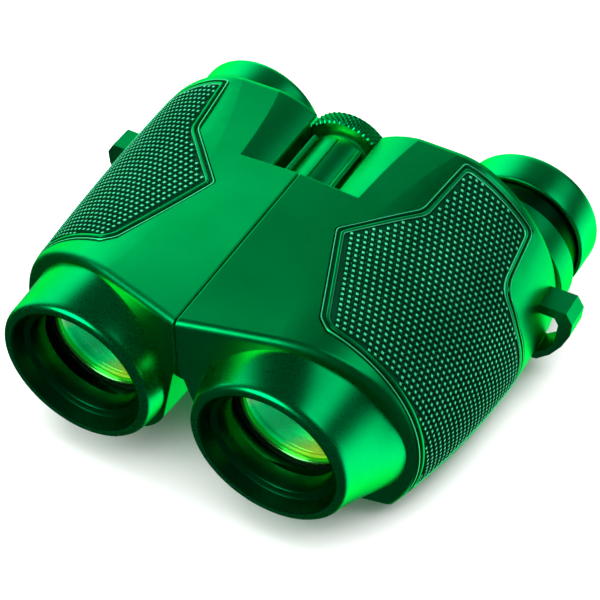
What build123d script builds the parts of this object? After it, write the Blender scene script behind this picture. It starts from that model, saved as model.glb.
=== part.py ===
from build123d import *
import math
import os

# Folding compact binoculars, opened flat. Millimetres, +X right, objectives towards -Y, +Z up.
# Stations are distances behind the rim of the objective hoods; heights are measured from the
# objective axes. The underside of the bodies stands on Z = 0.
FRONT = -50.4            # Y of the hood rims
AXIS_Z = 27.3            # height of the objective axes above the underside
OBJECTIVE = (22.88, 0.0)
EYEPIECE = (35.96, -9.4)
HINGE = (0.0, 11.0)

SEAM = 0.15              # half the gap between the two bodies
TOP = 22.66              # flat top of the bodies
BODY_REAR = 78.5
WALL = 3.4
REAR_WALL = 2.5
FRONT_SWEEP = 0.285      # the front face runs back this much for each millimetre outwards
FRONT_AT_SEAM = 4.4
FOLD_RELIEF = math.tan(math.radians(14.2))
STEP_STATION = 54.9      # the flat top ends here and the two rear humps begin
HUMP_AXIS = (19.8, 0.85)
HUMP_R = 21.75
TRENCH_HALF = 8.0
RELIEF_DEPTH = 45
FRONT_ROUNDING = 1.6
REAR_ROUNDING = 2.0
TRENCH_ROUNDING = 1.0
EDGE_ROUNDING = 0.4
TOP_BEND = 4.0           # the flat top turns into the arc over this length to each side

# Middles of the edges of the outer form that are rounded, as (X, station, height).
FRONT_TOP_EDGE = (10.2, 7.3, 22.5)
TRENCH_EDGE = (8.0, 65.7, 19.1)
STEP_EDGE = (7.3, STEP_STATION, 22.3)
SEAM_EDGES = ((SEAM, STEP_STATION, 16.8), (SEAM, 30.5, 22.7))

# Across one body: station, arc centre X, arc centre height, arc radius, X where the top meets
# the arc, height of the bottom, X of its inner edge, and one point of the inner lower bulge.
BODY_STATIONS = (
    (0.0, 16.1, -2.4, 27.2, 26.6, -14.5, 10.0, (5.2, -8.6)),
    (40.0, 20.4, -9.7, 31.0, 22.5, -27.8, 18.0, (7.4, -15.0)),
    (BODY_REAR, 15.5, -11.1, 37.1, 31.4, -28.0, 24.0, (10.4, -16.5)),
)

KNUCKLE_R = 6.8
KNUCKLE_GAP_R = 7.1
LEFT_KNUCKLES = ((6.5, 12.5), (19.7, 27.6))
RIGHT_KNUCKLES = ((12.7, 19.5), (42.4, 54.7))
CHAMBER = (27.6, 42.4)
CHAMBER_R = 7.6
KNUCKLE_END_GAP = 0.2
SOLID_AROUND_HINGE = 10.2
PIN_R = 2.5
SCREW_R = 2.4
TUBE_R = 4.0
RUNNING_GAP = 0.06

BARREL_R = 7.6
BARREL_STATIONS = (55.0, 74.0)
KNOB_R = 10.6
KNOB_STATIONS = (74.7, 79.0)
KNOB_CLEAR_R = 11.1

BORE_R = 14.7
BORE_REAR = 46.0
BORE_WALL_R = 16.4
CELL_R = 14.4
CELL_STATIONS = (11.0, 38.0)
LENS_R = 12.6
ARM_WIDTH = 4.0
ARM_LEAN = math.atan2(OBJECTIVE[1] - HINGE[1], OBJECTIVE[0] - HINGE[0])
ARM_SLOT_STATIONS = (28.4, 41.4)

PANEL_DEPTH = 1.25
PANEL_GAP = 0.2

# Objective hood: radii of its rim, the root on the swept face from its outermost point
# anticlockwise as (X, height), and the tunnel in front of the lens as (radius, station).
RIM_R = (17.2, 17.9, 18.2)
NECK_STATION = 2.3
HOOD_ROOT = ((45.5, -7.0), (41.2, 6.4), (31.6, 16.4), (20.6, 19.9), (10.0, 15.2), (3.9, 1.0),
             (8.0, -11.4), (18.0, -18.6), (30.5, -19.4), (41.6, -16.4))
TUNNEL = ((0, -1), (15.5, -1), (15.5, 0), (14.5, 3.1), (13.1, 4.05), (12.6, 7.9), (BORE_R, 8.3),
          (BORE_R, 30), (0, 30))
RING_R = 11.9
LENS_FRONT = 12.2
SEAL_STATION = 26.6
SEAL_R = 0.36

# Prisms on their shelf: centre, long side and width of each.
REAR_PRISM = ((OBJECTIVE[0] + EYEPIECE[0]) / 2, 26.0, 9.2)
FRONT_PRISM = ((OBJECTIVE[1] + EYEPIECE[1]) / 2, 19.0, 12.0)
SHELF_STATIONS = (58.8, 60.8)
SHELF_POSTS = ((19.7, -12.3), (39.5, 7.6))
SHELF_OUTLINE = ((18.5, -15.0), (38, -17.5), (44, -6), (44, 3), (41.2, 9.4), (36, 10.8), (14.4, 10.8),
                 (14.4, 2.0))
POST_R = 2.0
CLIP_THICK = 0.6
WINDOW_R = 4.4

COVER_CENTRE = (35.0, 59.0)
COVER_SIZE = (18.0, 32.0)
COVER_THICK = 1.6
COVER_SCREW_GRID = (14.0, 28.0)

# Strap lug on the outer side, and its slot, as (X, height).
LUG_STATIONS = (68.0, 74.5)
LUG_OUTLINE = ((48, -3.6), (58.3, -3.3), (60.0, -6.0), (59.8, -9.5), (58.2, -13.6), (55.8, -17.4),
               (52.8, -20.2), (48, -21.0))
LUG_SLOT = ((48, -5.9), (55.8, -5.9), (56.8, -7.6), (56.3, -13.6), (54.6, -16.4), (52.4, -18.2), (48, -18.4))

EYE_TUBE_R = 14.2
TUBE_STATIONS = (75.0, 92.0)
OCULAR_R = 12.6
OCULAR_STATIONS = (76.4, 91.0)
SLEEVE_R = (14.4, 15.3)
SLEEVE_STATIONS = (84.2, 98.0)
COLLAR_R = (15.6, 17.2)
CUP_R = (16.66, 16.86)
CUP_STATIONS = (91.5, 100.8)

RIB_X = 5.5
FOOT_SCREW_STATIONS = (60.0, 68.0)
NUT_STATIONS = (30.5, 40.0)
NECK_R = 3.6

os.makedirs("parts", exist_ok=True)


def station(distance):
    """Plane across the binoculars: local X is X, local Y is the height above the objective axes."""
    return Plane((0, FRONT + distance, AXIS_Z), x_dir=(1, 0, 0), z_dir=(0, -1, 0))


def plan(height=0.0):
    """Plane seen from above: local X is X, local Y is the station."""
    return Plane((0, FRONT, AXIS_Z + height))


def side(x=0.0):
    """Plane seen from the outside: local X is the station, local Y is the height."""
    return Plane((x, FRONT, AXIS_Z), x_dir=(0, 1, 0), z_dir=(1, 0, 0))


def save(block, name):
    block.part.label = name
    export_step(block.part, f"parts/{name}.step")


def save_pair(block, name):
    """Write the right-hand piece and its mirror image."""
    save(block, "right_" + name)
    with BuildPart() as mirrored:
        mirror(block.part, about=Plane.YZ)
    save(mirrored, "left_" + name)


def turned(at, outline):
    """Solid turned about a line along Y through `at`; the outline holds (radius, station) points."""
    line = (at[0], FRONT, AXIS_Z + at[1])
    with BuildPart() as solid:
        with BuildSketch(Plane(line)):
            with BuildLine():
                Polyline(*outline, close=True)
            make_face()
        revolve(axis=Axis(line, (0, 1, 0)))
    return solid


def rod(at, radius, start, end, hole=0.0):
    """Plain round bar or tube along Y between two stations."""
    outline = ((hole, start), (radius, start), (radius, end), (hole, end))
    return turned(at, outline).part


def on_arc(centre, radius, angle):
    """Point of a circle, with the angle measured from straight up towards the outside."""
    return (centre[0] + radius * math.sin(angle), centre[1] + radius * math.cos(angle))


def towards_objective(distance):
    """Point on the line from the hinge to the objective axis."""
    return (HINGE[0] + distance * math.cos(ARM_LEAN), HINGE[1] + distance * math.sin(ARM_LEAN))


def body_section(values, inset):
    """Sketch across one body at a station, `inset` inside its outer surface."""
    distance, arc_x, arc_z, arc_r, top_x, low_z, low_x, bulge = values
    centre = (arc_x, arc_z)
    radius = arc_r - inset
    top_angle = math.asin((top_x - arc_x) / arc_r)
    low_angle = math.acos((low_z + inset - arc_z) / radius)
    top_outer = on_arc(centre, radius, top_angle)
    low_outer = on_arc(centre, radius, low_angle)
    seam_top = (SEAM + inset, TOP - inset)
    flat = math.dist(seam_top, top_outer)
    bend_start = tuple(b + (a - b) * TOP_BEND / flat for a, b in zip(seam_top, top_outer))
    bend_angle = top_angle + TOP_BEND / arc_r
    bend_end = on_arc(centre, radius, bend_angle)
    seam_low = (SEAM + inset, HINGE[1])
    waist = (SEAM + HINGE[1] * FOLD_RELIEF + inset, 0)
    low_inner = (low_x + 0.6 * inset, low_z + inset)
    with BuildSketch(station(distance)) as section:
        with BuildLine():
            Line(seam_top, bend_start)
            Bezier(bend_start, top_outer, bend_end)
            ThreePointArc(bend_end, on_arc(centre, radius, (bend_angle + low_angle) / 2), low_outer)
            Line(low_outer, low_inner)
            ThreePointArc(low_inner, (bulge[0] + 0.9 * inset, bulge[1] + 0.4 * inset), waist)
            Line(waist, seam_low)
            Line(seam_low, seam_top)
        make_face()
    return section.sketch


def body_loft(inset):
    """One body as a smooth solid through its three stations."""
    with BuildPart() as solid:
        loft([body_section(values, inset) for values in BODY_STATIONS])
    return solid.part


def ahead_of_front(extra=0.0):
    """Everything ahead of the swept front face, moved back by `extra`."""
    reach = 80
    with BuildPart() as solid:
        with BuildSketch(plan(-40)):
            with BuildLine():
                Polyline((-reach, FRONT_AT_SEAM + extra - reach * FRONT_SWEEP), (-reach, -40), (reach, -40),
                         (reach, FRONT_AT_SEAM + extra + reach * FRONT_SWEEP), close=True)
            make_face()
        extrude(amount=80)
    return solid.part


def trench_outline(extra=0.0):
    """Outline of the gap between the rear humps, wider by `extra`; it opens downwards for folding."""
    edge = TRENCH_HALF + extra
    low = HINGE[1] - RELIEF_DEPTH
    return ((-5, 40), (edge, 40), (edge, HINGE[1]), (edge + RELIEF_DEPTH * FOLD_RELIEF, low), (-5, low))


def fold_wedge():
    """Outline of the room that the other body needs when the pair is folded."""
    low = HINGE[1] - RELIEF_DEPTH
    return ((-5, HINGE[1]), (SEAM, HINGE[1]), (SEAM + RELIEF_DEPTH * FOLD_RELIEF, low), (-5, low))


def panel_region(grow):
    """Space of the grip panel: its star outline from above, less the notch on the outer side."""
    with BuildPart() as solid:
        with BuildSketch(plan(-22)):
            with BuildLine():
                Polyline((23.8, 20.5), (26.5, 18.3), (70, 18.3), (70, 75.2), (29.2, 75.2), (27.3, 58.5),
                         (14.5, 44.5), close=True)
            outline = make_face()
            fillet(outline.vertices().filter_by(lambda v: v.X < 40), 1.2)
            offset(amount=grow, mode=Mode.REPLACE)
        extrude(amount=60)
        with BuildSketch(side(30)):
            with BuildLine():
                Polyline((90, 9.5), (74.4, 9.5), (59.2, 6.8), (58.4, -2), (60, -13), (61.5, -30), (90, -30),
                         close=True)
            make_face()
            offset(amount=-grow, mode=Mode.REPLACE)
        extrude(amount=60, mode=Mode.SUBTRACT)
    return solid.part


def edges_near(solid, middle, reach):
    """Edges whose middle lies within `reach` of a point given as (X, station, height)."""
    target = Vector(middle[0], FRONT + middle[1], AXIS_Z + middle[2])
    return [edge for edge in solid.edges() if (edge.center() - target).length < reach]


OUTER = body_loft(0.0)
PANEL_FLOOR = body_loft(PANEL_DEPTH)

with BuildPart() as hump:
    add(rod(HUMP_AXIS, HUMP_R, STEP_STATION - 5, BODY_REAR))
    fillet(hump.edges().filter_by(GeomType.CIRCLE).sort_by(Axis.Y)[-1], REAR_ROUNDING)

with BuildPart() as hump_cut:
    with BuildSketch(station(STEP_STATION)):
        with Locations((HUMP_AXIS[0] / 2 - 5, 20)):
            Rectangle(HUMP_AXIS[0] + 10, 40)
    extrude(amount=-40)
    add(hump.part, mode=Mode.SUBTRACT)
    with BuildSketch(station(STEP_STATION)):
        with BuildLine():
            Polyline(*trench_outline(), close=True)
        make_face()
    extrude(amount=-40)

# Outer form of one body: the loft with its front, rear, trench and seam edges rounded.
with BuildPart() as outer_form:
    add(OUTER)
    add(ahead_of_front(), mode=Mode.SUBTRACT)
    with BuildSketch(Plane((0, 0, -60))):
        Rectangle(200, 300)
    extrude(amount=60, mode=Mode.SUBTRACT)
    fillet(edges_near(outer_form.part, FRONT_TOP_EDGE, 1.5), FRONT_ROUNDING)
    behind = FRONT + BODY_REAR - 0.01
    fillet(outer_form.edges().filter_by(lambda edge: edge.bounding_box().min.Y > behind), REAR_ROUNDING)
    add(hump_cut.part, mode=Mode.SUBTRACT)
    fillet(edges_near(outer_form.part, TRENCH_EDGE, 0.8), TRENCH_ROUNDING)
    fillet(edges_near(outer_form.part, STEP_EDGE, 0.8), EDGE_ROUNDING)
    seam_edges = [edge for middle in SEAM_EDGES for edge in edges_near(outer_form.part, middle, 1.2)]
    fillet(seam_edges, EDGE_ROUNDING - 0.1)
    with BuildSketch(station(-5)):
        with BuildLine():
            Polyline(*fold_wedge(), close=True)
        make_face()
    extrude(amount=-100, mode=Mode.SUBTRACT)

with BuildPart() as cavity:
    add(body_loft(WALL))
    add(ahead_of_front(WALL), mode=Mode.SUBTRACT)
    add(rod(HINGE, SOLID_AROUND_HINGE, -5, 95), mode=Mode.SUBTRACT)
    add(rod(OBJECTIVE, BORE_WALL_R, -5, BORE_REAR - 1.5), mode=Mode.SUBTRACT)
    with BuildSketch(station(BODY_REAR - REAR_WALL)):
        Rectangle(200, 200)
    extrude(amount=-20, mode=Mode.SUBTRACT)
    with BuildSketch(station(STEP_STATION - WALL)) as trench_wall:
        with BuildLine():
            Polyline(*trench_outline(WALL), close=True)
        make_face()
    extrude(amount=-40, mode=Mode.SUBTRACT)

with BuildPart() as panel_recess:
    add(panel_region(PANEL_GAP))
    add(PANEL_FLOOR, mode=Mode.SUBTRACT)


def body_shell(own_knuckles, other_knuckles):
    """Casting of one body, with its hinge knuckles, strap lug, bores and recesses."""
    with BuildPart() as shell:
        # strap lug: a D shaped loop on the outer side
        with BuildSketch(station(LUG_STATIONS[0])):
            with BuildLine():
                Polyline(*LUG_OUTLINE, close=True)
            make_face()
            with BuildLine():
                Polyline(*LUG_SLOT, close=True)
            make_face(mode=Mode.SUBTRACT)
        extrude(amount=LUG_STATIONS[0] - LUG_STATIONS[1])
        add(outer_form.part)
        add(rod(HINGE, KNOB_CLEAR_R, KNOB_STATIONS[0] - 0.4, 95), mode=Mode.SUBTRACT)
        add(cavity.part, mode=Mode.SUBTRACT)
        add(panel_recess.part, mode=Mode.SUBTRACT)
        # hinge: room for the other body's knuckles and for the focusing nut, then the own knuckles
        for start, end in other_knuckles + (CHAMBER,):
            gap_r = CHAMBER_R if (start, end) == CHAMBER else KNUCKLE_GAP_R
            add(rod(HINGE, gap_r, start - KNUCKLE_END_GAP, end + KNUCKLE_END_GAP), mode=Mode.SUBTRACT)
        for start, end in own_knuckles:
            add(rod(HINGE, KNUCKLE_R, start, end))
        # bores of the objective, the eyepiece and the slot of the focusing arm
        add(rod(OBJECTIVE, BORE_R, -5, BORE_REAR), mode=Mode.SUBTRACT)
        add(rod(EYEPIECE, EYE_TUBE_R + 0.02, 70, 90), mode=Mode.SUBTRACT)
        slot_front, slot_rear = ARM_SLOT_STATIONS
        with BuildSketch(station(slot_front)):
            with Locations(towards_objective(7.6)):
                Rectangle(14, ARM_WIDTH + 1.2, rotation=math.degrees(ARM_LEAN))
        extrude(amount=slot_front - slot_rear, mode=Mode.SUBTRACT)
        # posts that carry the prism shelf
        with BuildSketch(station(SHELF_STATIONS[1])):
            with Locations(*SHELF_POSTS):
                Circle(POST_R)
                Circle(0.7, mode=Mode.SUBTRACT)
        extrude(amount=-(BODY_REAR - 1 - SHELF_STATIONS[1]))
        # underside: recess, window and screw holes of the cover
        with BuildSketch(Plane((COVER_CENTRE[0], FRONT + COVER_CENTRE[1], 0))):
            RectangleRounded(COVER_SIZE[0] + 0.2, COVER_SIZE[1] + 0.2, 2.1)
        extrude(amount=COVER_THICK, mode=Mode.SUBTRACT)
        with BuildSketch(Plane((COVER_CENTRE[0], FRONT + COVER_CENTRE[1], 0))):
            RectangleRounded(COVER_SIZE[0] - 7, COVER_SIZE[1] - 7, 2)
            with GridLocations(*COVER_SCREW_GRID, 2, 2):
                Circle(0.8)
        extrude(amount=6, mode=Mode.SUBTRACT)
    return shell


with BuildPart() as right_shell:
    add(body_shell(RIGHT_KNUCKLES, LEFT_KNUCKLES).part)
    add(rod(HINGE, PIN_R + RUNNING_GAP, 12, 20), mode=Mode.SUBTRACT)
    add(rod(HINGE, TUBE_R + RUNNING_GAP, 42, 56), mode=Mode.SUBTRACT)
save(right_shell, "right_body_shell")

with BuildPart() as left_shell_image:
    add(body_shell(LEFT_KNUCKLES, RIGHT_KNUCKLES).part)
    add(rod(HINGE, PIN_R, 7.5, 28), mode=Mode.SUBTRACT)
with BuildPart() as left_shell:
    mirror(left_shell_image.part, about=Plane.YZ)
save(left_shell, "left_body_shell")

# ---- covers, screws and grip panels ----

with BuildPart() as bottom_cover:
    with BuildSketch(Plane((COVER_CENTRE[0], FRONT + COVER_CENTRE[1], 0))):
        RectangleRounded(*COVER_SIZE, 2)
    extrude(amount=COVER_THICK - 0.05)
    with Locations(Plane((COVER_CENTRE[0], FRONT + COVER_CENTRE[1], 0), z_dir=(0, 0, -1))):
        with GridLocations(*COVER_SCREW_GRID, 2, 2):
            CounterSinkHole(0.9, 1.6, depth=6, counter_sink_angle=90)
save_pair(bottom_cover, "bottom_cover")

with BuildPart() as cover_screws:
    with BuildSketch(Plane((COVER_CENTRE[0], FRONT + COVER_CENTRE[1], 0.1))):
        with GridLocations(*COVER_SCREW_GRID, 2, 2):
            Circle(0.78)
    extrude(amount=3.4)
    with BuildSketch(Plane((COVER_CENTRE[0], FRONT + COVER_CENTRE[1], 0.1))):
        with GridLocations(*COVER_SCREW_GRID, 2, 2):
            Circle(1.4)
    extrude(amount=0.6, taper=44)
save_pair(cover_screws, "cover_screws")

with BuildPart() as grip_panel:
    add(OUTER)
    add(panel_region(0.0), mode=Mode.INTERSECT)
    add(body_loft(PANEL_DEPTH - 0.05), mode=Mode.SUBTRACT)
save_pair(grip_panel, "grip_panel")

# ---- objective ----

swept_length = math.hypot(1, FRONT_SWEEP)
front_face = Plane((0, FRONT + FRONT_AT_SEAM, AXIS_Z), x_dir=(1, FRONT_SWEEP, 0),
                   z_dir=(FRONT_SWEEP, -1, 0))
with BuildPart() as objective_hood:
    with BuildSketch(station(NECK_STATION)) as neck:
        with Locations(OBJECTIVE):
            Circle(RIM_R[2])
    with BuildSketch(front_face) as root:
        with BuildLine():
            Spline(*[(x * swept_length, z) for x, z in HOOD_ROOT], periodic=True)
        make_face()
    loft([neck.sketch, root.sketch])
    add(turned(OBJECTIVE, ((0, 0), (RIM_R[0], 0), (RIM_R[1], 0.6), (RIM_R[2], 1.6),
                           (RIM_R[2], NECK_STATION), (0, NECK_STATION))).part)
    add(turned(OBJECTIVE, TUNNEL).part, mode=Mode.SUBTRACT)
save_pair(objective_hood, "objective_hood")

with BuildPart() as objective_barrel:
    front, rear = CELL_STATIONS
    add(turned(OBJECTIVE, ((12.9, front), (13.6, front), (CELL_R, front + 0.6), (CELL_R, 25.8), (13.9, 25.8),
                           (13.9, 27.4), (CELL_R, 27.4), (CELL_R, rear), (13.1, rear), (11.8, 17.4),
                           (RING_R, 16.8), (12.9, 16.8))).part)
    # notch that takes the tip of the focusing arm
    with BuildSketch(station(31.0)):
        with Locations((OBJECTIVE[0] - 12.5, 6.0)):
            Rectangle(5.2, ARM_WIDTH + 0.1, rotation=math.degrees(ARM_LEAN))
    extrude(amount=-8, mode=Mode.SUBTRACT)
save_pair(objective_barrel, "objective_barrel")

with BuildPart() as objective_lens:
    front = LENS_FRONT
    add(turned(OBJECTIVE, ((0, front - 0.9), (6.4, front - 0.5), (LENS_R, front + 0.7), (LENS_R, 16.7),
                           (6.4, 17.5), (0, 17.8))).part)
save_pair(objective_lens, "objective_lens")

with BuildPart() as objective_ring:
    add(turned(OBJECTIVE, ((RING_R, 11.5), (12.85, 11.2), (12.85, 12.75), (RING_R, 12.65))).part)
save_pair(objective_ring, "objective_ring")

with BuildPart() as barrel_seal:
    with BuildSketch(Plane((OBJECTIVE[0], FRONT + SEAL_STATION, AXIS_Z))):
        with Locations((CELL_R - 0.1, 0)):
            Circle(SEAL_R)
    revolve(axis=Axis((OBJECTIVE[0], FRONT, AXIS_Z), (0, 1, 0)))
save_pair(barrel_seal, "barrel_seal")

# ---- prisms between the objective and the eyepiece ----

with BuildPart() as prism_shelf:
    with BuildSketch(station(SHELF_STATIONS[0])):
        with BuildLine():
            Polyline(*SHELF_OUTLINE, close=True)
        make_face()
        with Locations(OBJECTIVE, (EYEPIECE[0], OBJECTIVE[1]), EYEPIECE):
            Circle(WINDOW_R, mode=Mode.SUBTRACT)
        with Locations(*SHELF_POSTS):
            Circle(0.9, mode=Mode.SUBTRACT)
    extrude(amount=SHELF_STATIONS[0] - SHELF_STATIONS[1])
save_pair(prism_shelf, "prism_shelf")

with BuildPart() as shelf_screws:
    with BuildSketch(station(SHELF_STATIONS[0])):
        with Locations(*SHELF_POSTS):
            Circle(0.68)
    extrude(amount=-6)
    with BuildSketch(station(SHELF_STATIONS[0])):
        with Locations(*SHELF_POSTS):
            Circle(1.5)
    extrude(amount=1.1)
save_pair(shelf_screws, "shelf_screws")


def roof(half, base, sign, margin=0.0):
    """Corners of a right-angled prism, its long side on `base`, its ridge `half` away."""
    reach = half + margin
    return ((-reach, base), (0, base + sign * reach), (reach, base))


def wedge(frame, width, half, base, sign):
    """Prism block standing on a shelf face, on a plane whose local Y is the station."""
    with BuildPart() as block:
        with BuildSketch(frame):
            with BuildLine():
                Polyline(*roof(half, base, sign), close=True)
            make_face()
        extrude(amount=width / 2, both=True)
    return block.part


def strap(frame, width, half, base, sign):
    """Spring strap bent over the ridge of a prism."""
    with BuildPart() as band:
        with BuildSketch(frame):
            with BuildLine():
                Polyline(*roof(half, base, sign, 0.05), *reversed(roof(half, base, sign, 1.4 * CLIP_THICK)),
                         close=True)
            make_face()
        extrude(amount=width / 2, both=True)
    return band.part


rear_frame = Plane((REAR_PRISM[0], FRONT, AXIS_Z))
front_frame = Plane((EYEPIECE[0], FRONT, AXIS_Z + FRONT_PRISM[0]), x_dir=(0, 0, 1), z_dir=(-1, 0, 0))
with BuildPart() as rear_prism:
    add(wedge(rear_frame, REAR_PRISM[2], REAR_PRISM[1] / 2, SHELF_STATIONS[1], 1))
save_pair(rear_prism, "rear_prism")
with BuildPart() as rear_prism_clip:
    add(strap(rear_frame, 3.0, REAR_PRISM[1] / 2, SHELF_STATIONS[1], 1))
save_pair(rear_prism_clip, "rear_prism_clip")
with BuildPart() as front_prism:
    add(wedge(front_frame, FRONT_PRISM[2], FRONT_PRISM[1] / 2, SHELF_STATIONS[0], -1))
save_pair(front_prism, "front_prism")
with BuildPart() as front_prism_clip:
    add(strap(front_frame, 3.0, FRONT_PRISM[1] / 2, SHELF_STATIONS[0], -1))
save_pair(front_prism_clip, "front_prism_clip")

# ---- eyepiece ----

with BuildPart() as eyepiece_tube:
    add(rod(EYEPIECE, EYE_TUBE_R, *TUBE_STATIONS, hole=OCULAR_R + 0.1))
save_pair(eyepiece_tube, "eyepiece_tube")

with BuildPart() as ocular_cell:
    front, rear = OCULAR_STATIONS
    add(turned(EYEPIECE, ((10.6, front), (OCULAR_R, front), (OCULAR_R, rear), (11.2, rear), (11.2, 86.4),
                          (9.6, 86.2), (9.6, 80.8), (10.2, 80.6), (10.6, 80.6))).part)
save_pair(ocular_cell, "ocular_cell")

with BuildPart() as field_lens:
    add(turned(EYEPIECE, ((0, 76.9), (6, 77.1), (10.55, 77.9), (10.55, 80.5), (6, 80.7), (0, 80.8))).part)
save_pair(field_lens, "field_lens")

with BuildPart() as eye_lens:
    add(turned(EYEPIECE, ((0, 84.6), (6, 85.2), (9.0, 86.0), (9.0, 86.45), (11.15, 86.45), (11.15, 88.6),
                          (6, 89.4), (0, 89.7))).part)
save_pair(eye_lens, "eye_lens")

with BuildPart() as ocular_ring:
    add(turned(EYEPIECE, ((9.9, 90.2), (11.15, 88.65), (11.15, 90.8), (10.4, 90.8))).part)
save_pair(ocular_ring, "ocular_ring")

with BuildPart() as collar:
    front, rear = BODY_REAR, 85.5
    inner_r, outer_r = COLLAR_R
    add(turned(EYEPIECE, ((inner_r, front + 0.1), (outer_r, front + 0.1), (outer_r, rear - 0.4),
                          (outer_r - 0.4, rear), (inner_r, rear))).part)
with BuildPart() as collar_image:
    mirror(collar.part, about=Plane.YZ)
save(collar, "dioptre_ring")
save(collar_image, "left_eyepiece_collar")

with BuildPart() as eyecup_sleeve:
    inner_r, outer_r = SLEEVE_R
    front, rear = SLEEVE_STATIONS
    add(turned(EYEPIECE, ((inner_r, front), (outer_r, front), (outer_r, rear - 0.8), (15.9, rear - 0.8),
                          (15.9, rear), (inner_r, rear))).part)
save_pair(eyecup_sleeve, "eyecup_sleeve")

with BuildPart() as eyecup:
    front, rear = CUP_STATIONS
    front_r, rear_r = CUP_R
    add(turned(EYEPIECE, ((15.4, front), (front_r - 0.3, front), (front_r, front + 0.3),
                          (rear_r, rear - 1.2), (rear_r - 0.35, rear - 0.35), (rear_r - 1.2, rear),
                          (12.4, rear), (11.6, rear - 0.7), (11.6, 98.3), (16.05, 98.3), (16.05, 97.0),
                          (15.4, 97.0))).part)
save_pair(eyecup, "eyecup")

# ---- hinge and centre focusing ----

with BuildPart() as front_hinge_pin:
    add(rod(HINGE, PIN_R, 7.6, 22.6))
save(front_hinge_pin, "front_hinge_pin")

with BuildPart() as hinge_tube:
    add(rod(HINGE, TUBE_R, 42.8, 66.0, hole=SCREW_R + 0.2))
save(hinge_tube, "hinge_tube")

with BuildPart() as hinge_barrel:
    front, rear = BARREL_STATIONS
    add(turned(HINGE, ((TUBE_R, front), (BARREL_R - 0.4, front), (BARREL_R, front + 0.4),
                       (BARREL_R, rear - 0.4), (BARREL_R - 0.4, rear), (SCREW_R + 0.2, rear),
                       (SCREW_R + 0.2, 66.05), (TUBE_R, 66.05))).part)
    with BuildSketch(station(front + 1.5)):
        with Locations((0, HINGE[1] + BARREL_R)):
            Rectangle(0.7, 0.8)
    extrude(amount=front + 3.0 - rear, mode=Mode.SUBTRACT)
    with BuildSketch(station(front + 2.0)):
        with Locations((-RIB_X, 16.9), (RIB_X, 16.9)):
            RectangleRounded(1.4, 2.4, 0.6)
    extrude(amount=front + 4.0 - rear)
    # foot that is screwed to the left body
    with BuildSketch(station(front + 2.0)):
        with Locations((-6.5, 12.2)):
            Rectangle(3.0, 2.6)
    extrude(amount=front + 4.0 - rear)
save(hinge_barrel, "hinge_barrel")

with BuildPart() as barrel_screws:
    for distance in FOOT_SCREW_STATIONS:
        with BuildSketch(Plane((-5.4, FRONT + distance, AXIS_Z + 12.2), z_dir=(-1, 0, 0))):
            Circle(0.6)
        extrude(amount=5.2)
save(barrel_screws, "barrel_screws")

with BuildPart() as focus_screw:
    add(turned(HINGE, ((0, 23.8), (SCREW_R - 0.4, 23.8), (SCREW_R, 24.2), (SCREW_R, 77.5),
                       (1.0, 77.5), (1.0, 72.0), (0, 72.0))).part)
save(focus_screw, "focus_screw")

with BuildPart() as focus_nut:
    front, rear = NUT_STATIONS
    add(turned(HINGE, ((SCREW_R + 0.05, front), (NECK_R, front), (NECK_R, 30.8), (3.2, 30.8), (3.2, 31.4),
                       (NECK_R, 31.4), (NECK_R, 38.4), (5.5, 38.4), (5.5, rear),
                       (SCREW_R + 0.05, rear))).part)
save(focus_nut, "focus_nut")

with BuildPart() as nut_circlip:
    add(rod(HINGE, 4.8, 30.82, 31.38, hole=3.25))
    with BuildSketch(station(30.0)):
        with Locations((0, HINGE[1] - 4)):
            Rectangle(3.2, 4.4)
    extrude(amount=-2, mode=Mode.SUBTRACT)
save(nut_circlip, "nut_circlip")


def focus_arm(start, end, hole):
    """Flat arm from the nut to the notch in the objective barrel."""
    length = math.dist(HINGE, OBJECTIVE) - 13.3
    with BuildPart() as arm:
        with BuildSketch(station(start)):
            with Locations(towards_objective(length / 2)):
                Rectangle(length, ARM_WIDTH, rotation=math.degrees(ARM_LEAN))
            with Locations(HINGE):
                Circle(5.6)
                Circle(hole, mode=Mode.SUBTRACT)
        extrude(amount=start - end)
    return arm


right_arm = focus_arm(31.45, 34.2, NECK_R + 0.08)
save(right_arm, "right_focus_arm")
left_arm_image = focus_arm(34.4, 38.35, NECK_R)
with BuildPart() as left_arm:
    mirror(left_arm_image.part, about=Plane.YZ)
save(left_arm, "left_focus_arm")

with BuildPart() as knob_washer:
    add(rod(HINGE, 6.5, 74.06, 74.62, hole=SCREW_R + 0.2))
save(knob_washer, "knob_washer")

with BuildPart() as focus_knob:
    front, rear = KNOB_STATIONS
    add(turned(HINGE, ((SCREW_R, front), (KNOB_R - 0.5, front), (KNOB_R, front + 0.5), (KNOB_R, rear - 0.5),
                       (KNOB_R - 0.5, rear), (5.2, rear), (5.2, 77.6), (SCREW_R, 77.6))).part)
save(focus_knob, "focus_knob")

with BuildPart() as knob_cap:
    add(turned(HINGE, ((1.1, 77.65), (5.1, 77.65), (5.1, 79.0), (4.7, 79.4), (2.4, 79.4), (2.4, 78.6),
                       (1.1, 78.6))).part)
save(knob_cap, "knob_cap")

with BuildPart() as knob_screw:
    add(turned(HINGE, ((0, 73.0), (0.95, 73.0), (0.95, 78.65), (2.2, 78.65), (2.2, 79.5), (1.8, 79.9),
                       (0, 79.9))).part)
    with BuildSketch(station(79.5)):
        with Locations(HINGE):
            Rectangle(0.5, 4.6)
    extrude(amount=-1, mode=Mode.SUBTRACT)
save(knob_screw, "knob_screw")
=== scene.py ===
import math

import bmesh
import bpy
import numpy as np
from mathutils import Matrix, Vector
from mathutils.geometry import delaunay_2d_cdt


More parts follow.
